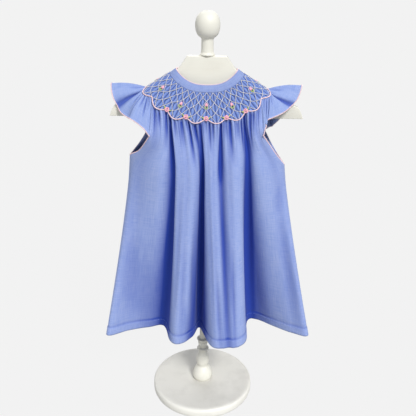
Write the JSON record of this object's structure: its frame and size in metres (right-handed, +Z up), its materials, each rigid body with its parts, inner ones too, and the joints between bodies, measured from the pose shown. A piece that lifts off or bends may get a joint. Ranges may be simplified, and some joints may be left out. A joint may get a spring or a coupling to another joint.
{
  "type": "smocked infant dress on display stand",
  "caption": "Light-blue infant dress with a smocked yoke and flutter sleeves, hung on a turned ivory display stand.",
  "frame": {"origin": "middle of the underside of the stand's round base", "axes": "+Z up the post, -Y towards the front of the dress, +X to the right as seen from the front"},
  "size_m": [0.3229, 0.166, 0.6123],
  "materials": {
    "ivory_paint": "painted ivory, satin",
    "blue_cotton": "fine chambray, matt",
    "pearl_button": "pearly",
    "smocking_thread": "stranded cotton",
    "pink_edging": "stranded cotton",
    "leaf_thread": "stranded cotton"
  },
  "bodies": {
    "root": {"stand_base": "ivory_paint", "stand_post": "ivory_paint", "shoulder_board": "ivory_paint", "finial": "ivory_paint", "neck_band": "blue_cotton", "smocked_yoke_front": "blue_cotton", "smocked_yoke_back_right": "blue_cotton", "smocked_yoke_back_left": "blue_cotton", "front_panel": "blue_cotton", "back_panel": "blue_cotton", "sleeve_left": "blue_cotton", "sleeve_right": "blue_cotton", "back_placket": "blue_cotton", "back_button_1": "pearl_button", "back_button_2": "pearl_button", "back_button_3": "pearl_button"}
  },
  "joints": []
}
